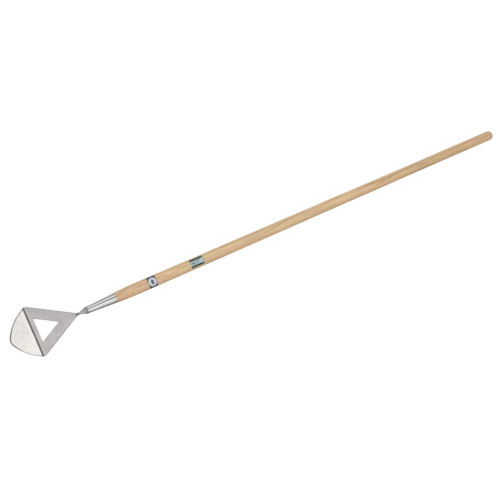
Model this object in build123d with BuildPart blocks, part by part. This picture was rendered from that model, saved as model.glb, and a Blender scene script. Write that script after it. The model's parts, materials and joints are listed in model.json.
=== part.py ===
from build123d import *
import os
from math import asin, atan, atan2, cos, hypot, radians, sin, tan

# Stirrup hoe with a half-moon blade, lying on level ground with its top side up.
# Millimetres. +X runs from the blade to the grip, +Z is up, and the tool is symmetric about Y = 0.
# It rests on the rounded bend between blade and stirrup, and on the far end of the handle.

# ---- driving dimensions ----
PLATE_WIDTH = 165.0            # stirrup triangle, between its sharp base corners
PLATE_HEIGHT = 156.7           # from the bend line to the triangle's sharp apex
PLATE_THICKNESS = 3.0
PLATE_RISE = 25.0              # degrees from the ground up to the stirrup plate
PLATE_CORNER_RADIUS = 6.0
PLATE_TIP_CUT = 5.0            # the sharp apex is cut off here, where the neck takes over
SIDE_BAR_WIDTH = 32.0
BASE_BAR_WIDTH = 15.2
WINDOW_CORNER_RADIUS = 2.5
PLATE_EDGE_ROUND = 0.5

BLADE_WIDTH = 154.5
BLADE_DEPTH = 79.3             # from the bend line to the point before it is blunted
BLADE_THICKNESS = 2.5
BLADE_RISE = 20.0              # degrees from the ground up to the blade
BLADE_SIDE_RADIUS = 145.0
BLADE_TIP_RADIUS = 24.0
BLADE_TIP_CUT = 0.075          # share of the tip radius that the blunting takes off the depth
BEVEL_WIDTH = 3.2              # ground cutting edge, on the upper face
BEVEL_DEPTH = 1.9

BEAD_RADIUS = 4.0              # rounded bead that joins blade and stirrup along the bend
BEAD_LENGTH = 157.0
BEAD_END_ROUND = 3.6

SOCKET_START = 22.5            # places along the handle's axis, from the stirrup's apex
SOCKET_MOUTH = 116.5
SOCKET_SMALL_DIAMETER = 21.0
SOCKET_MOUTH_DIAMETER = 31.6
SOCKET_WALL = 2.0
SOCKET_LIP_ROUND = 0.6

NECK_BAR_SIDE = 6.6            # square bar, set with one corner up
NECK_BAR_ROUND = 1.4
NECK_FLARE_START = 3.0         # places along the handle's axis, from the stirrup's apex
NECK_FLARE_END = 19.2
NECK_FOOT_LENGTH = 3.5         # from the apex down the stirrup plate
NECK_TOP_SIDE = 17.6           # its blunted corners reach the socket's edge
NECK_TOP_ROUND = 5.0

FOOT_WELD_START = 0.2          # from the apex down the stirrup plate
FOOT_WELD_END = 11.2
FOOT_WELD_COLLAR = 9.0         # nearly round where it hugs the neck's foot
FOOT_WELD_COLLAR_ROUND = 4.2
FOOT_WELD_WIDTH = 8.6          # flat and wide where it runs out on the plate
FOOT_WELD_HEIGHT = 4.4
FOOT_WELD_ROUND = 2.1
FOOT_WELD_END_ROUND = 1.6

RING_WELD_PLACE = 24.0         # along the handle's axis, from the stirrup's apex
RING_WELD_WIDTH = 7.0
RING_WELD_HEIGHT = 2.4
RING_WELD_SINK = 0.78          # its middle lies this far below the socket's surface

HANDLE_START = 28.0            # wood inside the socket begins here
HANDLE_END = 1435.0
HANDLE_SHOULDER_DIAMETER = 32.2
HANDLE_SHOULDER_ROUND = 1.2
SWELL_PLACE = 195.0            # thickest place of the handle
SWELL_DIAMETER = 36.0
GRIP_START = 1180.0            # from here to the end the handle is a cylinder
GRIP_DIAMETER = 29.4
GRIP_CROWN = 4.5               # how far the middle of the domed end stands proud
GRIP_CROWN_SAG = 0.6
GRIP_END_ROUND = 9.5
FIT_GAP = 0.15                 # between wood and socket wall

SCREW_PLACE = 90.0             # wood screw in the socket's underside
SCREW_SHANK_DIAMETER = 3.6
SCREW_HOLE_DIAMETER = 3.8
SCREW_HEAD_DIAMETER = 7.4
SCREW_HEAD_HEIGHT = 1.8
SCREW_HEAD_SEAT = 0.6          # the head reaches this far below the cone's highest line
SCREW_HEAD_ROUND = 1.3
SCREW_SLOT_WIDTH = 1.1
SCREW_SLOT_DEPTH = 0.9

LABEL_THICKNESS = 0.3
LABEL_GAP = 0.03
BAND_LABEL_START = 219.5       # label with the ring emblem
BAND_LABEL_LENGTH = 26.0
BAND_LABEL_WRAP = 150.0        # degrees round the handle
BAND_LABEL_TURN = 0.0
LONG_LABEL_START = 358.0
LONG_LABEL_LENGTH = 45.0
LONG_LABEL_WRAP = 94.0
LONG_LABEL_TURN = 9.5          # degrees from the top towards +Y
LABEL_CORNER_RADIUS = 2.0

# ---- places that follow from them ----
HALF_APEX = atan(PLATE_WIDTH / 2 / PLATE_HEIGHT)
APEX_HEIGHT = BEAD_RADIUS + PLATE_HEIGHT * sin(radians(PLATE_RISE))
GRIP_RADIUS = GRIP_DIAMETER / 2
REST_PLACE = HANDLE_END - GRIP_CROWN - GRIP_END_ROUND
# The handle drops so that its grip touches the ground just before its rounded end.
HANDLE_DROP = asin(APEX_HEIGHT / hypot(REST_PLACE, GRIP_RADIUS)) - atan2(GRIP_RADIUS, REST_PLACE)
BLADE_REACH = (BLADE_DEPTH - BLADE_TIP_RADIUS * BLADE_TIP_CUT) * cos(radians(BLADE_RISE))
APEX_REACH = PLATE_HEIGHT * cos(radians(PLATE_RISE))
TOTAL_LENGTH = BLADE_REACH + APEX_REACH + HANDLE_END * cos(HANDLE_DROP)
BEND_X = BLADE_REACH - TOTAL_LENGTH / 2
APEX_X = BEND_X + APEX_REACH

# Each plane's x runs along its piece. The plate and blade planes lie in the middle of the sheet.
PLATE_PLANE = Plane(
    origin=(BEND_X, 0, BEAD_RADIUS),
    x_dir=(cos(radians(PLATE_RISE)), 0, sin(radians(PLATE_RISE))),
    z_dir=(-sin(radians(PLATE_RISE)), 0, cos(radians(PLATE_RISE))),
)
BLADE_PLANE = Plane(
    origin=(BEND_X, 0, BEAD_RADIUS),
    x_dir=(-cos(radians(BLADE_RISE)), 0, sin(radians(BLADE_RISE))),
    z_dir=(sin(radians(BLADE_RISE)), 0, cos(radians(BLADE_RISE))),
)
BEND_AXIS_PLANE = Plane(origin=(BEND_X, 0, BEAD_RADIUS), x_dir=(1, 0, 0), z_dir=(0, 1, 0))
# The upright plane through the handle's axis: x along the handle, y away from its axis.
HANDLE_PLANE = Plane(
    origin=(APEX_X, 0, APEX_HEIGHT),
    x_dir=(cos(HANDLE_DROP), 0, -sin(HANDLE_DROP)),
    z_dir=(0, -1, 0),
)
HANDLE_AXIS = Axis(HANDLE_PLANE.origin, HANDLE_PLANE.x_dir)
# Square to the handle's axis and facing down out of the socket, where its screw sits.
SCREW_PLANE = Plane(
    origin=HANDLE_PLANE.origin + HANDLE_PLANE.x_dir * SCREW_PLACE,
    x_dir=HANDLE_PLANE.x_dir,
    z_dir=-HANDLE_PLANE.y_dir,
)


def across_handle(place):
    """Plane square to the handle's axis, at this distance from the stirrup's apex."""
    origin = HANDLE_PLANE.origin + HANDLE_PLANE.x_dir * place
    return Plane(origin=origin, x_dir=(0, 1, 0), z_dir=HANDLE_PLANE.x_dir)


def across_plate(back):
    """Plane square to the stirrup plate, at this distance down from its apex."""
    origin = HANDLE_PLANE.origin - PLATE_PLANE.x_dir * back
    return Plane(origin=origin, x_dir=(0, 1, 0), z_dir=PLATE_PLANE.x_dir)


def socket_radius(place):
    """Outside radius of the socket's cone."""
    share = (place - SOCKET_START) / (SOCKET_MOUTH - SOCKET_START)
    return (SOCKET_SMALL_DIAMETER + share * (SOCKET_MOUTH_DIAMETER - SOCKET_SMALL_DIAMETER)) / 2


def handle_radius(place):
    """Radius of the handle between its thickest place and its grip."""
    share = (place - SWELL_PLACE) / (GRIP_START - SWELL_PLACE)
    return (SWELL_DIAMETER + share * (GRIP_DIAMETER - SWELL_DIAMETER)) / 2


# ---- stirrup: a flat triangular frame with a triangular window ----
half_base = PLATE_WIDTH / 2
tip_place = PLATE_HEIGHT - PLATE_TIP_CUT
half_tip = PLATE_TIP_CUT * tan(HALF_APEX)
window_apex = PLATE_HEIGHT - SIDE_BAR_WIDTH / sin(HALF_APEX)
half_window = (window_apex - BASE_BAR_WIDTH) * tan(HALF_APEX)

with BuildPart() as stirrup_plate:
    with BuildSketch(PLATE_PLANE) as stirrup_outline:
        Polygon((0, -half_base), (tip_place, -half_tip), (tip_place, half_tip), (0, half_base), align=None)
        fillet(stirrup_outline.vertices().group_by(Axis.X)[0], PLATE_CORNER_RADIUS)
        Polygon(
            (BASE_BAR_WIDTH, -half_window),
            (window_apex, 0),
            (BASE_BAR_WIDTH, half_window),
            align=None,
            mode=Mode.SUBTRACT,
        )
        window_corners = stirrup_outline.sketch.face().inner_wires()[0].vertices()
        fillet(window_corners, WINDOW_CORNER_RADIUS)
    extrude(amount=PLATE_THICKNESS / 2, both=True)
    plate_faces = stirrup_plate.faces().sort_by(Axis(PLATE_PLANE.origin, PLATE_PLANE.z_dir))
    fillet(plate_faces[0].edges() + plate_faces[-1].edges(), PLATE_EDGE_ROUND)
    with Locations(BEND_AXIS_PLANE):
        Cylinder(BEAD_RADIUS, 2 * PLATE_WIDTH, mode=Mode.SUBTRACT)
stirrup_plate.part.label = "stirrup_plate"

# ---- blade: a half-moon with a blunted point and a ground edge along its upper outline ----
half_blade = BLADE_WIDTH / 2

with BuildPart() as blade:
    with BuildSketch(BLADE_PLANE) as blade_outline:
        with BuildLine():
            RadiusArc((0, half_blade), (BLADE_DEPTH, 0), BLADE_SIDE_RADIUS)
            RadiusArc((BLADE_DEPTH, 0), (0, -half_blade), BLADE_SIDE_RADIUS)
            Line((0, -half_blade), (0, half_blade))
        make_face()
        fillet(blade_outline.vertices().sort_by(Axis.X)[-1], BLADE_TIP_RADIUS)
    extrude(amount=BLADE_THICKNESS / 2, both=True)
    upper_face = blade.faces().sort_by(Axis(BLADE_PLANE.origin, BLADE_PLANE.z_dir))[-1]
    cutting_edges = upper_face.edges().filter_by(GeomType.CIRCLE)
    chamfer(cutting_edges, BEVEL_WIDTH, BEVEL_DEPTH, reference=upper_face)
    with Locations(BEND_AXIS_PLANE):
        Cylinder(BEAD_RADIUS, 2 * BLADE_WIDTH, mode=Mode.SUBTRACT)
blade.part.label = "blade"

# ---- bead: the rounded joint along the bend, with domed ends ----
with BuildPart() as blade_weld:
    with Locations(BEND_AXIS_PLANE):
        Cylinder(BEAD_RADIUS, BEAD_LENGTH)
    fillet(blade_weld.edges().filter_by(GeomType.CIRCLE), BEAD_END_ROUND)
blade_weld.part.label = "blade_weld"

# ---- socket: a conical tube, open at both ends, with a screw hole in its underside ----
with BuildPart() as socket:
    with BuildSketch(HANDLE_PLANE) as socket_wall:
        Polygon(
            (SOCKET_START, socket_radius(SOCKET_START) - SOCKET_WALL),
            (SOCKET_MOUTH, socket_radius(SOCKET_MOUTH) - SOCKET_WALL),
            (SOCKET_MOUTH, socket_radius(SOCKET_MOUTH)),
            (SOCKET_START, socket_radius(SOCKET_START)),
            align=None,
        )
        fillet(socket_wall.vertices().group_by(Axis.X)[-1], SOCKET_LIP_ROUND)
    revolve(axis=HANDLE_AXIS)
    with BuildSketch(SCREW_PLANE):
        Circle(SCREW_HOLE_DIAMETER / 2)
    extrude(amount=SOCKET_MOUTH_DIAMETER, mode=Mode.SUBTRACT)
socket.part.label = "socket"

# ---- handle: turned wood, swollen beyond the socket, tapered to a cylindrical grip with a domed end ----
socket_floor_radius = socket_radius(HANDLE_START) - SOCKET_WALL - FIT_GAP
socket_mouth_radius = socket_radius(SOCKET_MOUTH) - SOCKET_WALL - FIT_GAP
shoulder_place = SOCKET_MOUTH + FIT_GAP
shoulder_radius = HANDLE_SHOULDER_DIAMETER / 2

with BuildPart() as handle:
    with BuildSketch(HANDLE_PLANE) as handle_profile:
        with BuildLine():
            taper = Line((GRIP_START, GRIP_RADIUS), (SWELL_PLACE, SWELL_DIAMETER / 2))
            swell = TangentArc(taper @ 1, (shoulder_place, shoulder_radius), tangent=taper % 1)
            Polyline(
                swell @ 1,
                (shoulder_place, socket_mouth_radius),
                (HANDLE_START, socket_floor_radius),
                (HANDLE_START, 0),
                (HANDLE_END, 0),
            )
            SagittaArc((HANDLE_END, 0), (HANDLE_END - GRIP_CROWN, GRIP_RADIUS), GRIP_CROWN_SAG)
            Line((HANDLE_END - GRIP_CROWN, GRIP_RADIUS), taper @ 0)
        make_face()
        grip_corner = handle_profile.vertices().sort_by_distance((HANDLE_END - GRIP_CROWN, GRIP_RADIUS))[0]
        fillet(grip_corner, GRIP_END_ROUND)
        shoulder_corner = handle_profile.vertices().sort_by_distance(swell @ 1)[0]
        fillet(shoulder_corner, HANDLE_SHOULDER_ROUND)
    revolve(axis=HANDLE_AXIS)
    with BuildSketch(SCREW_PLANE):
        Circle(SCREW_HOLE_DIAMETER / 2)
    extrude(amount=SOCKET_MOUTH_DIAMETER, mode=Mode.SUBTRACT)
handle.part.label = "handle"

# ---- screw: holds the handle in the socket, with a slotted round head under the socket ----
screw_seat = socket_radius(SCREW_PLACE) - SCREW_HEAD_SEAT
screw_top = socket_radius(SCREW_PLACE) + SCREW_HEAD_HEIGHT

with BuildPart() as socket_screw:
    with BuildSketch(SCREW_PLANE.offset(screw_seat)):
        Circle(SCREW_HEAD_DIAMETER / 2)
    extrude(amount=screw_top - screw_seat)
    head_faces = socket_screw.faces().sort_by(Axis(SCREW_PLANE.origin, SCREW_PLANE.z_dir))
    fillet(head_faces[-1].edges(), SCREW_HEAD_ROUND)
    with BuildSketch(SCREW_PLANE.offset(screw_top - SCREW_SLOT_DEPTH)):
        Rectangle(2 * SCREW_HEAD_DIAMETER, SCREW_SLOT_WIDTH)
    extrude(amount=SCREW_HEAD_HEIGHT, mode=Mode.SUBTRACT)
    add(socket.part, mode=Mode.SUBTRACT)
    with BuildSketch(SCREW_PLANE):
        Circle(SCREW_SHANK_DIAMETER / 2)
    extrude(amount=screw_seat)
socket_screw.part.label = "socket_screw"

# ---- neck: a square bar bent from the plate's line into the handle's, flaring to the socket ----
neck_sections = [
    (across_plate(NECK_FOOT_LENGTH), NECK_BAR_SIDE, NECK_BAR_ROUND),
    (across_handle(NECK_FLARE_START), NECK_BAR_SIDE, NECK_BAR_ROUND),
    (across_handle(NECK_FLARE_END), NECK_TOP_SIDE, NECK_TOP_ROUND),
    (across_handle(SOCKET_START), NECK_TOP_SIDE, NECK_TOP_ROUND),
]
with BuildPart() as neck:
    for section_plane, side, corner_round in neck_sections:
        with BuildSketch(section_plane):
            RectangleRounded(side, side, corner_round, rotation=45)
    loft(ruled=True)
neck.part.label = "neck"

# ---- weld that ties the neck's foot to the plate's tip, above and below the plate ----
with BuildPart() as neck_plate_weld:
    with BuildSketch(across_plate(FOOT_WELD_START)):
        RectangleRounded(FOOT_WELD_COLLAR, FOOT_WELD_COLLAR, FOOT_WELD_COLLAR_ROUND)
    with BuildSketch(across_plate(FOOT_WELD_END)):
        RectangleRounded(FOOT_WELD_WIDTH, FOOT_WELD_HEIGHT, FOOT_WELD_ROUND)
    loft()
    weld_ends = neck_plate_weld.faces().sort_by(Axis(HANDLE_PLANE.origin, PLATE_PLANE.x_dir))
    fillet(weld_ends[0].edges() + weld_ends[-1].edges(), FOOT_WELD_END_ROUND)
    add(neck.part, mode=Mode.SUBTRACT)
    add(stirrup_plate.part, mode=Mode.SUBTRACT)
neck_plate_weld.part.label = "neck_plate_weld"

# ---- low dressed ring where the neck meets the socket ----
with BuildPart() as socket_neck_weld:
    with BuildSketch(HANDLE_PLANE):
        with Locations((RING_WELD_PLACE, socket_radius(RING_WELD_PLACE) - RING_WELD_SINK)):
            Ellipse(RING_WELD_WIDTH / 2, RING_WELD_HEIGHT / 2)
    revolve(axis=HANDLE_AXIS)
    add(neck.part, mode=Mode.SUBTRACT)
    add(socket.part, mode=Mode.SUBTRACT)
socket_neck_weld.part.label = "socket_neck_weld"


# ---- labels: thin patches that wrap part of the way round the handle ----
def make_label(name, start, length, wrap, turn):
    """Patch from start, along length and round wrap degrees, its middle turned from the top."""
    inner_start = handle_radius(start) + LABEL_GAP
    inner_end = handle_radius(start + length) + LABEL_GAP
    outward = Plane(
        origin=HANDLE_PLANE.origin + HANDLE_PLANE.x_dir * (start + length / 2),
        x_dir=HANDLE_PLANE.x_dir,
        z_dir=HANDLE_PLANE.rotated((-turn, 0, 0)).y_dir,
    )
    width = 2 * handle_radius(start + length / 2) * sin(radians(wrap / 2))
    with BuildPart() as label:
        with BuildSketch(HANDLE_PLANE):
            Polygon(
                (start, inner_start),
                (start + length, inner_end),
                (start + length, inner_end + LABEL_THICKNESS),
                (start, inner_start + LABEL_THICKNESS),
                align=None,
            )
        revolve(axis=HANDLE_AXIS)
        with BuildSketch(outward):
            RectangleRounded(length, width, LABEL_CORNER_RADIUS)
        extrude(amount=SWELL_DIAMETER, mode=Mode.INTERSECT)
    label.part.label = name
    return label.part


band_label = make_label("band_label", BAND_LABEL_START, BAND_LABEL_LENGTH, BAND_LABEL_WRAP, BAND_LABEL_TURN)
long_label = make_label("long_label", LONG_LABEL_START, LONG_LABEL_LENGTH, LONG_LABEL_WRAP, LONG_LABEL_TURN)

# ---- every piece is written as a file of its own ----
pieces = [
    handle.part,
    socket.part,
    socket_screw.part,
    neck.part,
    socket_neck_weld.part,
    neck_plate_weld.part,
    stirrup_plate.part,
    blade.part,
    blade_weld.part,
    band_label,
    long_label,
]
os.makedirs("parts", exist_ok=True)
for piece in pieces:
    export_step(piece, f"parts/{piece.label}.step")
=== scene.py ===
import json
from math import cos, radians, sin
from types import SimpleNamespace

import bmesh
import bpy
from mathutils import Matrix, Vector


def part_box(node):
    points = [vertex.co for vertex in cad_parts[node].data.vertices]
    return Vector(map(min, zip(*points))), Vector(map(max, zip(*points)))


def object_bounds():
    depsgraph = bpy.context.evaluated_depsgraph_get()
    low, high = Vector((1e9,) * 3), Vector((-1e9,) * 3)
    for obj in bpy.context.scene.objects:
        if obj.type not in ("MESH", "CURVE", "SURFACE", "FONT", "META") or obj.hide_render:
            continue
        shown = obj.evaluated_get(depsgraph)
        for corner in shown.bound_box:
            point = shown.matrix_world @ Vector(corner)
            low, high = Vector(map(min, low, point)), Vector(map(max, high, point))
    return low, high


# Looks of the stirrup hoe. Metres, in the CAD frame: +X runs from the blade to the grip, +Z is up.
# Every visible piece is a CAD node, so this script makes materials, light and a camera.

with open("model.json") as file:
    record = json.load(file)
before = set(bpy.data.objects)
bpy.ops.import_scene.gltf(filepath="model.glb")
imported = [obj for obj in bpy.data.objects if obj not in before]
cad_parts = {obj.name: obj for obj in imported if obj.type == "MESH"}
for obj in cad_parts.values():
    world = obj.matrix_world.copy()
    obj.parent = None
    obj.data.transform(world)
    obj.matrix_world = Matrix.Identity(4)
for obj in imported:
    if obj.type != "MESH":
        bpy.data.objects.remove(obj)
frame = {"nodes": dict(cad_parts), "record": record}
cad_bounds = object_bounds()

# ---- camera ----
VIEW_ELEVATION = 78.0          # degrees; it looks down from over the blade
VIEW_TURN = 14.64              # degrees from -X towards +Y
VIEW_ROLL = 66.52              # degrees, anticlockwise as seen from behind the camera
VIEW_DISTANCE = 3.635
VIEW_LENS = 85.0               # millimetres, like the sensor
SENSOR = 36.0
AIM_AHEAD = 0.6996             # the point looked at, from the bend line along the ground
AIM_ASIDE = -0.0324            # along Y
VIEW_REACH = 100.0             # how far the camera sees

# ---- studio ----
FLOOR_SIZE = 14.0
FLOOR_GAP = 0.0002
FLOOR_WHITE = 0.55
FLOOR_GLOW = 0.68
BACKDROP_RADIUS = 9.0
SKY_STRENGTH = 1.42
# The light is painted on the world by direction, so X, Y and Z here are parts of a direction.
SKY_ENDS = (-0.7, 0.8)         # along X, between these its brightness changes
SKY_TOWARDS_BLADE = 0.72       # from this share
SKY_TOWARDS_GRIP = 1.03        # to this one
SKY_TILT = 0.5                 # share more from +Y, and less from -Y, towards the grip
TILT_AHEAD = (0.10, 0.40)      # along X, where the tilt begins and where it is full
SKY_AT_HORIZON = 0.78          # brightness at the horizon, as a share
HORIZON_HEIGHT = 0.30          # along Z, where the horizon's dimming ends
SIDE_BOARD = 0.50              # how white the board beside the blade is
BOARD_ASIDE = (-0.80, -0.50)   # along Y, where the board is full and where it ends
BOARD_AHEAD = (-0.18, 0.08)    # the same along X
# Brightness of the studio by degrees from straight up towards +Y: a soft lamp overhead, a thin
# dark bar, a second lamp and dim walls.
SKY_ANGLE = 120.0              # the last stop on each side
SKY_STOPS = [
    (-120, 0.30),
    (-92, 0.22),
    (-78, 0.34),
    (-60, 0.62),
    (-30, 0.84),
    (-12, 1.00),
    (8, 1.00),
    (11, 0.04),
    (29, 0.04),
    (32, 0.84),
    (57, 0.86),
    (70, 0.50),
    (92, 0.50),
    (120, 0.62),
]


# ---- the tool's own lines and places, from the CAD nodes and the record ----
def middle(node):
    """Centre of a CAD node's box."""
    low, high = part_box(node)
    return (low + high) / 2


def mount(name):
    return next(item for item in frame["record"]["mounts"] if item["name"] == name)


ACROSS = Vector((0.0, 1.0, 0.0))
AHEAD = Vector((1.0, 0.0, 0.0))
BEND = middle("blade_weld")
HANDLE_POINT = Vector(mount("grip")["pos_m"])
HANDLE_LINE = Vector(mount("grip")["axis"]).normalized()
BLADE_UP = -Vector(mount("blade_sole")["axis"]).normalized()
BLADE_LINE = ACROSS.cross(BLADE_UP)            # from the blade's point back to the bend
PLATE_RISE = radians(25)
PLATE_LINE = Vector((cos(PLATE_RISE), 0.0, sin(PLATE_RISE)))


def along_handle(point):
    """Distance along the handle from the middle of the grip."""
    return (point - HANDLE_POINT).dot(HANDLE_LINE)


SOCKET_START, SOCKET_MOUTH = (along_handle(corner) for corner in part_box("socket"))


# ---- shader node helpers ----
def add_node(tree, kind, inputs=None, **settings):
    """New shader node. inputs maps a socket's name or index to a value or another node's output."""
    node = tree.nodes.new(kind)
    for name, value in settings.items():
        setattr(node, name, value)
    for name, value in (inputs or {}).items():
        if isinstance(value, bpy.types.NodeSocket):
            tree.links.new(value, node.inputs[name])
        else:
            node.inputs[name].default_value = value
    return node


def calc(tree, operation, first, second=0.0):
    node = add_node(tree, "ShaderNodeMath", {0: first, 1: second}, operation=operation)
    return node.outputs["Value"]


def vector_calc(tree, operation, first, second):
    node = add_node(tree, "ShaderNodeVectorMath", {0: first, 1: second}, operation=operation)
    return node.outputs["Vector"]


def remap(tree, value, low, high, to_low, to_high):
    """Runs from to_low to to_high as value goes from low to high, and stays there beyond."""
    inputs = {"Value": value, "From Min": low, "From Max": high, "To Min": to_low, "To Max": to_high}
    return add_node(tree, "ShaderNodeMapRange", inputs).outputs["Result"]


def band(tree, value, low, high, soft):
    """1 where value lies between low and high, falling to 0 over the width soft at both ends."""
    rising = remap(tree, value, low - soft / 2, low + soft / 2, 0.0, 1.0)
    falling = remap(tree, value, high - soft / 2, high + soft / 2, 1.0, 0.0)
    return calc(tree, "MULTIPLY", rising, falling)


def mix(tree, share, first, second, blend_type="MIX"):
    """Colour between first and second, each a colour or another node's output."""
    node = add_node(tree, "ShaderNodeMix", data_type="RGBA", blend_type=blend_type)
    for name, value in (("Factor_Float", share), ("A_Color", first), ("B_Color", second)):
        socket = next(item for item in node.inputs if item.identifier == name)
        if isinstance(value, bpy.types.NodeSocket):
            tree.links.new(value, socket)
        elif name == "Factor_Float":
            socket.default_value = value
        else:
            socket.default_value = (*value, 1.0)
    return next(item for item in node.outputs if item.identifier == "Result_Color")


def ramp(tree, value, stops):
    """Colour ramp. stops is a list of (place from 0 to 1, colour)."""
    node = add_node(tree, "ShaderNodeValToRGB", {"Fac": value})
    elements = node.color_ramp.elements
    for index, (place, colour) in enumerate(stops):
        element = elements[index] if index < 2 else elements.new(place)
        element.position = place
        element.color = (*colour, 1.0)
    return node.outputs["Color"]


def grey_ramp(tree, value, stops):
    return ramp(tree, value, [(place, (grey, grey, grey)) for place, grey in stops])


def noise(tree, vector, features, detail=3.0, roughness=0.5):
    """Noise with this many features in a metre along each of the vector's parts."""
    scaled = vector_calc(tree, "MULTIPLY", vector, features)
    inputs = {"Vector": scaled, "Scale": 1.0, "Detail": detail, "Roughness": roughness}
    return add_node(tree, "ShaderNodeTexNoise", inputs).outputs["Fac"]


def dot(tree, vector, direction):
    inputs = {0: vector, 1: direction}
    return add_node(tree, "ShaderNodeVectorMath", inputs, operation="DOT_PRODUCT").outputs["Value"]


def length(tree, *parts):
    """Length of the vector with these parts."""
    vector = add_node(tree, "ShaderNodeCombineXYZ", dict(enumerate(parts))).outputs["Vector"]
    return add_node(tree, "ShaderNodeVectorMath", {0: vector}, operation="LENGTH").outputs["Value"]


def surface_facing(tree, direction):
    """1 where the surface faces the direction, 0 where it lies along it."""
    return dot(tree, add_node(tree, "ShaderNodeNewGeometry").outputs["Normal"], direction)


def tool_place(tree, origin, line):
    """Place on the tool from origin: along the line, aside towards +Y, height square to both."""
    position = add_node(tree, "ShaderNodeTexCoord").outputs["Object"]
    offset = vector_calc(tree, "SUBTRACT", position, origin)
    along, aside, height = (dot(tree, offset, axis) for axis in (line, ACROSS, line.cross(ACROSS)))
    parts = {0: along, 1: aside, 2: height}
    vector = add_node(tree, "ShaderNodeCombineXYZ", parts).outputs["Vector"]
    return SimpleNamespace(vector=vector, along=along, aside=aside, height=height)


def new_material(name):
    material = bpy.data.materials.new(name)
    material.use_nodes = True
    return material, material.node_tree, material.node_tree.nodes["Principled BSDF"]


def connect(tree, shader, **sockets):
    """Links or sets the shader's sockets; underscores in the names stand for spaces."""
    for name, value in sockets.items():
        socket = shader.inputs[name.replace("_", " ")]
        if isinstance(value, bpy.types.NodeSocket):
            tree.links.new(value, socket)
        else:
            socket.default_value = value


def bump(tree, height, strength, distance, normal=None):
    inputs = {"Height": height, "Strength": strength, "Distance": distance}
    if normal is not None:
        inputs["Normal"] = normal
    return add_node(tree, "ShaderNodeBump", inputs).outputs["Normal"]


def assign(material, node):
    """Gives a CAD node this material everywhere."""
    for slot in frame["nodes"][node].material_slots:
        slot.material = material


# ---- wood ----
PITH_DEPTH = 0.085             # the tree's pith runs this far below the handle's axis
PITH_ASIDE = 0.022             # and this far from it towards -Y
RINGS_A_METRE = 340.0
GRAIN_RUNOUT = 0.006           # metres the rings sink in a metre of handle, towards the grip
RING_WANDER = 0.030            # metres, the whole span of the rings' wandering
SOCKET_DARKENING_REACH = 0.18        # the wood is darker this far from the socket
GRIP_SHADE_START = -0.60       # and painted shade from here, growing to the grip, measured from its middle
GRIP_SHADE_END = 0.05
# tint of the darkening by the socket and of the painted shade towards the grip
SHADE_AND_DARKENING_TINT = (0.88, 0.84, 0.80)
END_GRAIN_TINT = (0.52, 0.49, 0.47)
PORE_BROWN = (0.235, 0.135, 0.065)


def growth_rings(tree, spot):
    """0 to 1 across each growth ring round the pith, outwards from its early wood."""
    wander = calc(tree, "SUBTRACT", noise(tree, spot.vector, (1.8, 28.0, 28.0), 2.0), 0.5)
    drift = calc(tree, "MULTIPLY", wander, RING_WANDER)
    shift = calc(tree, "ADD", drift, calc(tree, "MULTIPLY", spot.along, GRAIN_RUNOUT))
    above_pith = calc(tree, "ADD", shift, calc(tree, "ADD", spot.height, PITH_DEPTH))
    beside_pith = calc(tree, "ADD", spot.aside, PITH_ASIDE)
    radius = length(tree, above_pith, beside_pith)
    return calc(tree, "FRACT", calc(tree, "MULTIPLY", radius, RINGS_A_METRE))


def ash_colour(tree, spot, ring, fibre):
    """Ring tones with long streaks, patches, a faint warm and cool drift, darker wood by the socket and
    painted shade growing towards the grip.
    """
    ring_tone = ramp(tree, ring, [
        (0.00, (0.627, 0.424, 0.227)),
        (0.10, (0.580, 0.382, 0.199)),
        (0.34, (0.815, 0.587, 0.340)),
        (0.80, (0.884, 0.656, 0.404)),
        (1.00, (0.774, 0.557, 0.318)),
    ])
    streak_tone = ramp(tree, noise(tree, spot.vector, (3.0, 130.0, 130.0), 3.0, 0.55), [
        (0.30, (0.774, 0.557, 0.298)),
        (0.50, (0.842, 0.621, 0.369)),
        (0.70, (0.925, 0.678, 0.439)),
    ])
    colour = mix(tree, 0.45, ring_tone, streak_tone)
    drift = noise(tree, spot.vector, (7.0, 60.0, 60.0), 2.0)
    drift_tone = ramp(tree, drift, [(0.35, (1.00, 1.00, 0.89)), (0.65, (1.06, 0.95, 0.98))])
    colour = mix(tree, 0.8, colour, drift_tone, "MULTIPLY")
    patches = noise(tree, spot.vector, (9.0, 45.0, 45.0))
    colour = mix(tree, 0.8, colour, grey_ramp(tree, patches, [(0.30, 0.86), (0.70, 1.08)]), "MULTIPLY")
    colour = mix(tree, 0.7, colour, grey_ramp(tree, fibre, [(0.30, 0.88), (0.70, 1.06)]), "MULTIPLY")
    # Darker wood by the socket, and painted shade growing towards the grip.
    socket_darkening = remap(tree, spot.along, SOCKET_MOUTH, SOCKET_MOUTH + SOCKET_DARKENING_REACH, 0.6, 0.0)
    grip_shade = remap(tree, spot.along, GRIP_SHADE_START, GRIP_SHADE_END, 0.0, 1.0)
    grip_shade_and_socket_darkening = calc(tree, "MAXIMUM", socket_darkening, grip_shade)
    return mix(tree, grip_shade_and_socket_darkening, colour, SHADE_AND_DARKENING_TINT, "MULTIPLY")


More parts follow.
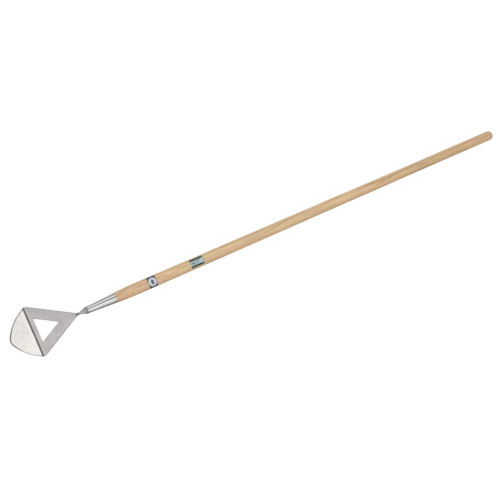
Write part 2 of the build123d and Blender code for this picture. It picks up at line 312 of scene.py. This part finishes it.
def ash_wood():
    """Turned ash: growth rings, open pores along the grain and a thin oil finish."""
    material, tree, shader = new_material("ash_wood")
    spot = tool_place(tree, HANDLE_POINT, HANDLE_LINE)
    ring = growth_rings(tree, spot)
    fibre = noise(tree, spot.vector, (22.0, 1500.0, 1500.0), 3.0, 0.6)
    colour = ash_colour(tree, spot, ring, fibre)

    pores = remap(tree, noise(tree, spot.vector, (75.0, 2600.0, 2600.0), 2.0), 0.53, 0.62, 0.0, 0.75)
    in_early_wood = remap(tree, band(tree, ring, 0.02, 0.30, 0.10), 0.0, 1.0, 0.12, 1.0)
    pores = calc(tree, "MULTIPLY", pores, in_early_wood)
    colour = mix(tree, pores, colour, PORE_BROWN)
    end_grain = remap(tree, surface_facing(tree, HANDLE_LINE), 0.08, 0.60, 0.0, 0.9)
    colour = mix(tree, end_grain, colour, END_GRAIN_TINT, "MULTIPLY")

    relief = calc(tree, "SUBTRACT", calc(tree, "MULTIPLY", fibre, 0.4), pores)
    gloss = remap(tree, fibre, 0.3, 0.7, 0.40, 0.52)
    gloss = calc(tree, "ADD", gloss, calc(tree, "MULTIPLY", pores, 0.25))
    connect(tree, shader, Base_Color=colour, Roughness=gloss, Coat_Weight=0.10, Coat_Roughness=0.28)
    connect(tree, shader, Normal=bump(tree, relief, 0.35, 0.0002))
    return material


# ---- metal ----
def brushed_steel(name, origin, line, grey, gloss, lines, clouding, depth=1.0):
    """Steel with polishing lines, faint clouding and uneven gloss.

    lines is how many polishing lines there are in a metre along the line, aside and in height,
    and depth is how strongly they show.
    """
    material, tree, shader = new_material(name)
    spot = tool_place(tree, origin, line)
    scratches = noise(tree, spot.vector, lines, 4.0, 0.65)
    cloud = noise(tree, spot.vector, (26.0, 26.0, 26.0), 4.0, 0.6)
    smear = noise(tree, spot.vector, (60.0, 90.0, 90.0))
    dark = tuple(channel * (1.0 - clouding) for channel in grey)
    colour = mix(tree, remap(tree, cloud, 0.35, 0.65, 0.0, 1.0), dark, grey)
    line_tone = grey_ramp(tree, scratches, [(0.30, 0.93), (0.70, 1.05)])
    colour = mix(tree, 0.8 * depth, colour, line_tone, "MULTIPLY")
    scratch_gloss = remap(tree, scratches, 0.3, 0.7, gloss * 0.9, gloss * 1.15)
    roughness = calc(tree, "MULTIPLY", remap(tree, smear, 0.3, 0.7, 0.85, 1.2), scratch_gloss)
    normal = bump(tree, scratches, 0.10 * depth, 0.0001)
    connect(tree, shader, Metallic=1.0, Base_Color=colour, Roughness=roughness, Normal=normal)
    return SimpleNamespace(
        material=material,
        tree=tree,
        shader=shader,
        spot=spot,
        colour=colour,
        roughness=roughness,
        normal=normal,
    )


POLISHED_GREY = (0.755, 0.742, 0.737)
HEAT_BROWN = (0.52, 0.49, 0.46)
SMUDGE_GREY = (0.50, 0.48, 0.45)
SOCKET_HEAT_REACH = 0.014      # from the ring weld
SMUDGE_REACH = 0.030           # from the mouth


def polished_steel():
    """Socket: bright lengthwise polish, browned beside the weld and smudged at the mouth."""
    polishing = (5.0, 1100.0, 1100.0)
    steel = brushed_steel(
        "polished_steel", HANDLE_POINT, HANDLE_LINE, POLISHED_GREY, 0.065, polishing, 0.06
    )
    tree, spot = steel.tree, steel.spot
    heat = remap(tree, spot.along, SOCKET_START, SOCKET_START + SOCKET_HEAT_REACH, 0.55, 0.0)
    colour = mix(tree, heat, steel.colour, HEAT_BROWN)
    near_mouth = remap(tree, spot.along, SOCKET_MOUTH - SMUDGE_REACH, SOCKET_MOUTH, 0.0, 0.5)
    smudge = calc(tree, "MULTIPLY", near_mouth, noise(tree, spot.vector, (120.0, 90.0, 90.0), 4.0))
    colour = mix(tree, smudge, colour, SMUDGE_GREY)
    roughness = calc(tree, "ADD", steel.roughness, calc(tree, "MULTIPLY", smudge, 0.25))
    connect(tree, steel.shader, Base_Color=colour, Roughness=roughness)
    return steel.material


FORGED_GREY = (0.69, 0.682, 0.676)


def forged_steel():
    """Neck: drawn out and ground, with hammer dents left in its faces."""
    grinding = (40.0, 700.0, 700.0)
    steel = brushed_steel(
        "forged_steel", HANDLE_POINT, HANDLE_LINE, FORGED_GREY, 0.34, grinding, 0.25
    )
    dents = noise(steel.tree, steel.spot.vector, (160.0, 160.0, 160.0), 2.0)
    connect(steel.tree, steel.shader, Normal=bump(steel.tree, dents, 0.35, 0.0012, steel.normal))
    return steel.material


PLATE_HALF_BASE = 0.0825       # the triangle between its sharp corners
PLATE_HEIGHT = 0.1567
SIDE_BAR = 0.032
BASE_BAR = 0.0152
SATIN_GREY = (0.686, 0.651, 0.649)
EDGE_BAND_GREY = (0.38, 0.37, 0.365)
EDGE_BAND_RIM = (0.0004, 0.0042)  # in from an outer side, where the darkening is full and where it ends
EDGE_BAND_OUTSIDE = 0.0025        # how far the darkening reaches from the window's edge, both ways
EDGE_BAND_INSIDE = 0.0040
EDGE_BAND_RISE = 0.0040           # above the base bar, where the darkening at the window is full
BEAD_HIGHLIGHT_GREY = (0.70, 0.68, 0.675)
BEAD_HIGHLIGHT_STRIP = (0.0040, 0.0095)   # from the bend, a painted highlight beside the bead
PLATE_HEAT_REACH = 0.028       # browned this far from the apex, where the neck is welded on
PLATE_HEAT_FULL = 0.010        # and from here on it is full


def dark_edge_bands(tree, spot):
    """How much darker the plate is, in patches along its outer sides and the window's two sides."""
    slant = Vector((PLATE_HALF_BASE, PLATE_HEIGHT)).length
    from_axis = calc(tree, "MULTIPLY", calc(tree, "ABSOLUTE", spot.aside), PLATE_HEIGHT / slant)
    to_apex = calc(tree, "SUBTRACT", PLATE_HEIGHT, spot.along)
    inwards = calc(tree, "MULTIPLY", to_apex, PLATE_HALF_BASE / slant)
    from_side = calc(tree, "SUBTRACT", inwards, from_axis)
    outer = remap(tree, from_side, *EDGE_BAND_RIM, 1.0, 0.0)
    window = band(tree, from_side, SIDE_BAR - EDGE_BAND_OUTSIDE, SIDE_BAR + EDGE_BAND_INSIDE, 0.002)
    above_base = remap(tree, spot.along, BASE_BAR, BASE_BAR + EDGE_BAND_RISE, 0.0, 1.0)
    window = calc(tree, "MULTIPLY", window, above_base)
    patchy = remap(tree, noise(tree, spot.vector, (90.0, 90.0, 90.0), 4.0), 0.3, 0.6, 0.35, 0.8)
    return calc(tree, "MULTIPLY", calc(tree, "MAXIMUM", outer, window), patchy)


def satin_steel():
    """Stirrup plate: satin, darker along its sides, with a painted highlight by the bead, and browned
    at the tip.
    """
    brushing = (14.0, 900.0, 900.0)
    steel = brushed_steel("satin_steel", BEND, PLATE_LINE, SATIN_GREY, 0.36, brushing, 0.15)
    tree, spot = steel.tree, steel.spot
    colour = mix(tree, dark_edge_bands(tree, spot), steel.colour, EDGE_BAND_GREY)
    # Painted highlight in a strip beside the bead.
    bead_highlight = calc(tree, "MULTIPLY", band(tree, spot.along, *BEAD_HIGHLIGHT_STRIP, 0.004), 0.5)
    colour = mix(tree, bead_highlight, colour, BEAD_HIGHLIGHT_GREY)
    heat_start = PLATE_HEIGHT - PLATE_HEAT_REACH
    heat = remap(tree, spot.along, heat_start, PLATE_HEIGHT - PLATE_HEAT_FULL, 0.0, 0.35)
    colour = mix(tree, heat, colour, HEAT_BROWN)
    connect(tree, steel.shader, Base_Color=colour)
    return steel.material


BLADE_GREY = (0.670, 0.644, 0.622)
PAINTED_HIGHLIGHT_STEEL = (0.80, 0.783, 0.768)
HIGHLIGHT_BY_BEAD = (-0.016, -0.004)  # from the bend, where the painted highlight beside the bead begins and is full
HIGHLIGHT_SIDE = (-0.070, 0.010)  # along Y, where a second painted highlight is full and where it ends
MARK_GREY = (0.50, 0.488, 0.475)
MARKS_THIN_OUT = (-0.075, -0.020)  # from the bend, push marks fade from the first to the second
POINT_HALF_WIDTH = 0.010       # the ground edge's painted shade is darkest round the blade's point
POINT_FADE = 0.024             # and pales over this width beside it
FAINT_EDGE = (-0.046, -0.030)  # along Y, the painted shade on the ground edge is faint before the first, full past both


def blade_steel():
    """Blade: ground sheet with painted highlights by the bead and towards -Y, streaked the way it is
    pushed, with a coarse dark ground edge under painted shade.
    """
    grinding = (12.0, 1000.0, 1000.0)
    steel = brushed_steel("blade_steel", BEND, BLADE_LINE, BLADE_GREY, 0.26, grinding, 0.05, 0.4)
    tree, spot = steel.tree, steel.spot
    # Painted highlights: a band beside the bead and a brightening towards -Y.
    highlight_by_bead = remap(tree, spot.along, *HIGHLIGHT_BY_BEAD, 0.0, 0.7)
    highlight_side = remap(tree, spot.aside, *HIGHLIGHT_SIDE, 0.6, 0.0)
    colour = mix(tree, calc(tree, "MAXIMUM", highlight_by_bead, highlight_side), steel.colour, PAINTED_HIGHLIGHT_STEEL)
    marks = remap(tree, noise(tree, spot.vector, (24.0, 620.0, 620.0), 2.0), 0.60, 0.72, 0.0, 0.22)
    towards_point = remap(tree, spot.along, *MARKS_THIN_OUT, 1.0, 0.25)
    colour = mix(tree, calc(tree, "MULTIPLY", marks, towards_point), colour, MARK_GREY)

    # The ground edge: dark ground steel with painted shade on it, darkest round the point and faint
    # towards -Y.
    bevel = band(tree, surface_facing(tree, BLADE_UP), 0.5, 0.95, 0.06)
    from_point = calc(tree, "ABSOLUTE", spot.aside)
    dark = remap(tree, from_point, POINT_HALF_WIDTH, POINT_HALF_WIDTH + POINT_FADE, 1.0, 0.62)
    dark = calc(tree, "MULTIPLY", dark, remap(tree, spot.aside, *FAINT_EDGE, 0.12, 1.0))
    grind = noise(tree, spot.vector, (700.0, 700.0, 700.0), 2.0)
    edge_tone = ramp(tree, grind, [(0.30, (0.150, 0.148, 0.145)), (0.70, (0.300, 0.295, 0.290))])
    colour = mix(tree, calc(tree, "MULTIPLY", bevel, dark), colour, edge_tone)
    roughness = calc(tree, "ADD", steel.roughness, calc(tree, "MULTIPLY", bevel, 0.12))
    connect(tree, steel.shader, Base_Color=colour, Roughness=roughness)
    return steel.material


RIPPLES_A_METRE = 670.0
# Weld greys: partly the welds' own dark metal and partly painted shade of the joints they fill.
NECK_WELD_GREY_WITH_PAINTED_SHADE = 0.30
BEAD_GREY_WITH_PAINTED_SHADE = 0.20


def weld_steel(name, shade):
    """Weld metal of this brightness, dark partly as its own metal and partly as painted shade of its
    joint, with dark scale and fine ripples spaced across the tool.
    """
    material, tree, shader = new_material(name)
    spot = tool_place(tree, BEND, AHEAD)
    scale = noise(tree, spot.vector, (260.0, 160.0, 260.0), 4.0, 0.6)
    phase = calc(tree, "MULTIPLY", spot.aside, radians(360) * RIPPLES_A_METRE)
    ripples = calc(tree, "SINE", calc(tree, "ADD", phase, calc(tree, "MULTIPLY", scale, 5.0)))
    colour = ramp(tree, scale, [
        (0.30, (0.78 * shade, 0.75 * shade, 0.71 * shade)),
        (0.55, (1.20 * shade, 1.16 * shade, 1.11 * shade)),
        (0.75, (1.85 * shade, 1.80 * shade, 1.75 * shade)),
    ])
    relief = calc(tree, "ADD", calc(tree, "MULTIPLY", ripples, 0.4), scale)
    gloss = remap(tree, scale, 0.3, 0.7, 0.38, 0.58)
    connect(tree, shader, Metallic=1.0, Base_Color=colour, Roughness=gloss)
    connect(tree, shader, Normal=bump(tree, relief, 0.5, 0.0004))
    return material


PLATED_GREY = (0.66, 0.65, 0.62)


def screw_steel():
    """Screw: plated steel, faintly mottled."""
    centre = middle("socket_screw")
    mottling = (500.0, 500.0, 500.0)
    steel = brushed_steel("screw_steel", centre, HANDLE_LINE, PLATED_GREY, 0.26, mottling, 0.2)
    return steel.material


# ---- labels: every mark on them is drawn here, and none of it is lettering ----
NAVY = (0.085, 0.085, 0.135)
SLATE = (0.31, 0.31, 0.37)
LABEL_WHITE = (0.78, 0.78, 0.86)
LEAF_DARK = (0.055, 0.075, 0.065)
POND_GREEN = (0.37, 0.52, 0.50)
POND_LIGHT = (0.52, 0.66, 0.66)
EDGE_GREEN = (0.010, 0.032, 0.032)
STRIPE_GREEN = (0.10, 0.20, 0.20)
ICON_GREEN = (0.035, 0.080, 0.075)
PANEL_BLUE = (0.50, 0.64, 0.69)
BARE_PAPER = (0.52, 0.46, 0.39)
RUBBED_PRINT = (0.72, 0.70, 0.66)


def label_place(tree, node, turn):
    """Place on a label from its middle, along the handle and round it; turn is the middle's angle."""
    centre = HANDLE_POINT + HANDLE_LINE * along_handle(middle(node))
    spot = tool_place(tree, centre, HANDLE_LINE)
    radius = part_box(node)[1].z - centre.z
    angle = calc(tree, "SUBTRACT", calc(tree, "ARCTAN2", spot.aside, spot.height), turn)
    return spot.vector, spot.along, calc(tree, "MULTIPLY", angle, radius)


PRINT_SOFTNESS = 0.0001


def step(tree, value, place):
    """0 below this place and 1 above it, with a printed edge's softness."""
    return remap(tree, value, place - PRINT_SOFTNESS, place + PRINT_SOFTNESS, 0.0, 1.0)


def leaf(tree, across, down, half_width, half_length):
    """1 inside a pointed leaf with its tips half_length up and down from its middle."""
    share = calc(tree, "DIVIDE", down, half_length)
    taper = calc(tree, "SUBTRACT", 1.0, calc(tree, "MULTIPLY", share, share))
    outline = calc(tree, "MULTIPLY", taper, half_width)
    return step(tree, calc(tree, "SUBTRACT", outline, calc(tree, "ABSOLUTE", across)), 0.0)


def leaf_veins(tree, across, down, spacing):
    """1 on a leaf's midrib and on the slanting veins beside it."""
    beside = calc(tree, "ABSOLUTE", across)
    slant = calc(tree, "SUBTRACT", down, calc(tree, "MULTIPLY", beside, 1.1))
    veins = remap(tree, calc(tree, "PINGPONG", slant, spacing), 0.0001, 0.0002, 1.0, 0.0)
    midrib = remap(tree, beside, 0.0002, 0.0003, 1.0, 0.0)
    return calc(tree, "MAXIMUM", veins, midrib)


def finish_label(tree, shader, vector, colour):
    """Printed film: a little mottling, rubbed specks and a soft gloss."""
    mottle = noise(tree, vector, (300.0, 300.0, 300.0))
    colour = mix(tree, 0.6, colour, grey_ramp(tree, mottle, [(0.30, 0.88), (0.70, 1.08)]), "MULTIPLY")
    rub = noise(tree, vector, (500.0, 900.0, 900.0), 4.0, 0.65)
    colour = mix(tree, remap(tree, rub, 0.66, 0.74, 0.0, 0.5), colour, RUBBED_PRINT)
    connect(tree, shader, Base_Color=colour, Roughness=remap(tree, mottle, 0.3, 0.7, 0.30, 0.44))
    connect(tree, shader, Coat_Weight=0.25, Coat_Roughness=0.2, Normal=bump(tree, rub, 0.1, 0.0001))


OVAL_HALF_ALONG = 0.0133
OVAL_HALF_ROUND = 0.0165
OVAL_RIM = 0.80                # the rim starts at this share of the oval
RIM_LINE = (0.87, 0.90)        # a pale line in the rim, in the same shares
BAND_LEAF_HALF_WIDTH = 0.0047
BAND_LEAF_HALF_LENGTH = 0.0095
VEIN_SPACING = 0.0011


def band_label_print():
    """Navy label with a pale oval, its slate rim and a plain leaf in the middle."""
    material, tree, shader = new_material("band_label_print")
    vector, along, around = label_place(tree, "band_label", 0.0)
    across_share = calc(tree, "DIVIDE", along, OVAL_HALF_ALONG)
    round_share = calc(tree, "DIVIDE", around, OVAL_HALF_ROUND)
    oval = length(tree, across_share, round_share)
    colour = mix(tree, remap(tree, oval, 0.99, 1.01, 1.0, 0.0), NAVY, SLATE)
    inside_rim = remap(tree, oval, OVAL_RIM - 0.01, OVAL_RIM + 0.01, 1.0, 0.0)
    colour = mix(tree, inside_rim, colour, LABEL_WHITE)
    colour = mix(tree, band(tree, oval, *RIM_LINE, 0.01), colour, LABEL_WHITE)
    inside = leaf(tree, along, around, BAND_LEAF_HALF_WIDTH, BAND_LEAF_HALF_LENGTH)
    colour = mix(tree, inside, colour, LEAF_DARK)
    veins = calc(tree, "MULTIPLY", leaf_veins(tree, along, around, VEIN_SPACING), inside)
    colour = mix(tree, calc(tree, "MULTIPLY", veins, 0.35), colour, LABEL_WHITE)
    finish_label(tree, shader, vector, colour)
    return material


LONG_LABEL_TURN = radians(9.5)
STRIPE_START = -0.0085
STRIPES = ((0.0055, 0.0105), (0.0025, 0.0080), (-0.0010, 0.0110), (-0.0045, 0.0045))
STRIPE_HALF_WIDTH = 0.0004
PANEL_START = 0.0101
PAPER_START = 0.0171
ICON_ALONG = -0.0132
ICON_ROUND = -0.0022
ICON_HALF_WIDTH = 0.0026
ICON_HALF_LENGTH = 0.0044
UPPER_BORDER = 0.0071
LOWER_BORDER = -0.0085
BORDER_END = 0.0187


def long_label_print():
    """Green label with dark borders, a small leaf, plain stripes, a pale panel and a bare end."""
    material, tree, shader = new_material("long_label_print")
    vector, along, around = label_place(tree, "long_label", LONG_LABEL_TURN)
    wash = remap(tree, noise(tree, vector, (110.0, 160.0, 160.0), 2.0), 0.4, 0.65, 0.0, 0.6)
    colour = mix(tree, wash, POND_GREEN, POND_LIGHT)
    for place, end in STRIPES:
        level = band(tree, around, place - STRIPE_HALF_WIDTH, place + STRIPE_HALF_WIDTH, 0.0001)
        stripe = calc(tree, "MULTIPLY", level, band(tree, along, STRIPE_START, end, 0.0002))
        colour = mix(tree, calc(tree, "MULTIPLY", stripe, 0.7), colour, STRIPE_GREEN)
    colour = mix(tree, step(tree, along, PANEL_START), colour, PANEL_BLUE)
    colour = mix(tree, step(tree, along, PAPER_START), colour, BARE_PAPER)
    icon_across = calc(tree, "SUBTRACT", around, ICON_ROUND)
    icon_down = calc(tree, "SUBTRACT", along, ICON_ALONG)
    icon = leaf(tree, icon_across, icon_down, ICON_HALF_WIDTH, ICON_HALF_LENGTH)
    colour = mix(tree, icon, colour, ICON_GREEN)
    between = band(tree, around, LOWER_BORDER, UPPER_BORDER, 0.0002)
    border = calc(tree, "SUBTRACT", calc(tree, "SUBTRACT", 1.0, between), step(tree, along, BORDER_END))
    colour = mix(tree, calc(tree, "MAXIMUM", border, 0.0), colour, EDGE_GREEN)
    finish_label(tree, shader, vector, colour)
    return material


# ---- camera, floor and light ----
def make_camera():
    elevation = radians(VIEW_ELEVATION)
    turn = radians(VIEW_TURN)
    roll = radians(VIEW_ROLL)
    back = Vector((-cos(elevation) * cos(turn), cos(elevation) * sin(turn), sin(elevation)))
    aim = Vector((BEND.x + AIM_AHEAD, AIM_ASIDE, 0.0))
    level_right = AHEAD.cross(back).normalized()
    level_up = back.cross(level_right)
    right = level_right * cos(roll) + level_up * sin(roll)
    up = level_up * cos(roll) - level_right * sin(roll)
    camera_data = bpy.data.cameras.new("camera")
    camera_data.lens = VIEW_LENS
    camera_data.sensor_width = SENSOR
    camera_data.clip_end = VIEW_REACH
    camera = bpy.data.objects.new("camera", camera_data)
    bpy.context.scene.collection.objects.link(camera)
    turned = Matrix((right, up, back)).transposed().to_4x4()
    camera.matrix_world = Matrix.Translation(aim + back * VIEW_DISTANCE) @ turned
    bpy.context.scene.camera = camera


def add_stage(name, mesh, white, glow):
    """White stage piece that only the camera sees, so it throws no light back on to the tool."""
    piece = bpy.data.objects.new(name, mesh)
    piece.visible_diffuse = False
    piece.visible_glossy = False
    bpy.context.scene.collection.objects.link(piece)
    material, tree, shader = new_material(name)
    connect(tree, shader, Base_Color=(white, white, white, 1.0), Roughness=0.8)
    connect(tree, shader, Emission_Color=(1.0, 1.0, 1.0, 1.0), Emission_Strength=glow)
    mesh.materials.append(material)
    return piece


def make_floor():
    """White paper under the tool, which takes its soft shadow."""
    mesh = bpy.data.meshes.new("floor")
    half = FLOOR_SIZE / 2
    corners = [(-half, -half, 0), (half, -half, 0), (half, half, 0), (-half, half, 0)]
    mesh.from_pydata(corners, [], [(0, 1, 2, 3)])
    floor = add_stage("floor", mesh, FLOOR_WHITE, FLOOR_GLOW)
    floor.location.z = cad_bounds[0][2] - FLOOR_GAP


def make_backdrop():
    """White dome round the floor, which lets the studio's light through."""
    mesh = bpy.data.meshes.new("backdrop")
    dome = bmesh.new()
    bmesh.ops.create_icosphere(dome, subdivisions=4, radius=BACKDROP_RADIUS)
    dome.to_mesh(mesh)
    dome.free()
    backdrop = add_stage("backdrop", mesh, 0.0, 1.0)
    backdrop.visible_shadow = False


def make_studio():
    """Soft light from all round, painted on the world by direction."""
    world = bpy.data.worlds.new("studio")
    bpy.context.scene.world = world
    world.use_nodes = True
    tree = world.node_tree
    direction = add_node(tree, "ShaderNodeTexCoord").outputs["Generated"]
    parts = add_node(tree, "ShaderNodeSeparateXYZ", {0: direction}).outputs
    reach = radians(SKY_ANGLE)
    angle = remap(tree, calc(tree, "ARCTAN2", parts["Y"], parts["Z"]), -reach, reach, 0.0, 1.0)
    stops = [((degrees + SKY_ANGLE) / (2 * SKY_ANGLE), grey) for degrees, grey in SKY_STOPS]
    light = grey_ramp(tree, angle, stops)
    beside = remap(tree, parts["Y"], *BOARD_ASIDE, 1.0, 0.0)
    board = calc(tree, "MULTIPLY", beside, remap(tree, parts["X"], *BOARD_AHEAD, SIDE_BOARD, 0.0))
    light = mix(tree, board, light, (1.0, 1.0, 1.0))
    ahead = remap(tree, parts["X"], *SKY_ENDS, SKY_TOWARDS_BLADE, SKY_TOWARDS_GRIP)
    low = remap(tree, parts["Z"], 0.0, HORIZON_HEIGHT, SKY_AT_HORIZON, 1.0)
    towards_grip = remap(tree, parts["X"], *TILT_AHEAD, 0.0, SKY_TILT)
    tilt = calc(tree, "ADD", 1.0, calc(tree, "MULTIPLY", towards_grip, parts["Y"]))
    strength = calc(tree, "MULTIPLY", calc(tree, "MULTIPLY", ahead, low), SKY_STRENGTH)
    strength = calc(tree, "MULTIPLY", strength, tilt)
    background = tree.nodes["Background"]
    tree.links.new(light, background.inputs["Color"])
    tree.links.new(strength, background.inputs["Strength"])


make_camera()
make_floor()
make_backdrop()
make_studio()
bpy.context.scene.view_settings.view_transform = "Standard"

assign(ash_wood(), "handle")
assign(polished_steel(), "socket")
assign(screw_steel(), "socket_screw")
assign(forged_steel(), "neck")
assign(weld_steel("ring_weld_painted_shade_steel", NECK_WELD_GREY_WITH_PAINTED_SHADE), "socket_neck_weld")
assign(weld_steel("foot_weld_painted_shade_steel", NECK_WELD_GREY_WITH_PAINTED_SHADE), "neck_plate_weld")
assign(satin_steel(), "stirrup_plate")
assign(weld_steel("bead_weld_painted_shade_steel", BEAD_GREY_WITH_PAINTED_SHADE), "blade_weld")
assign(blade_steel(), "blade")
assign(band_label_print(), "band_label")
assign(long_label_print(), "long_label")
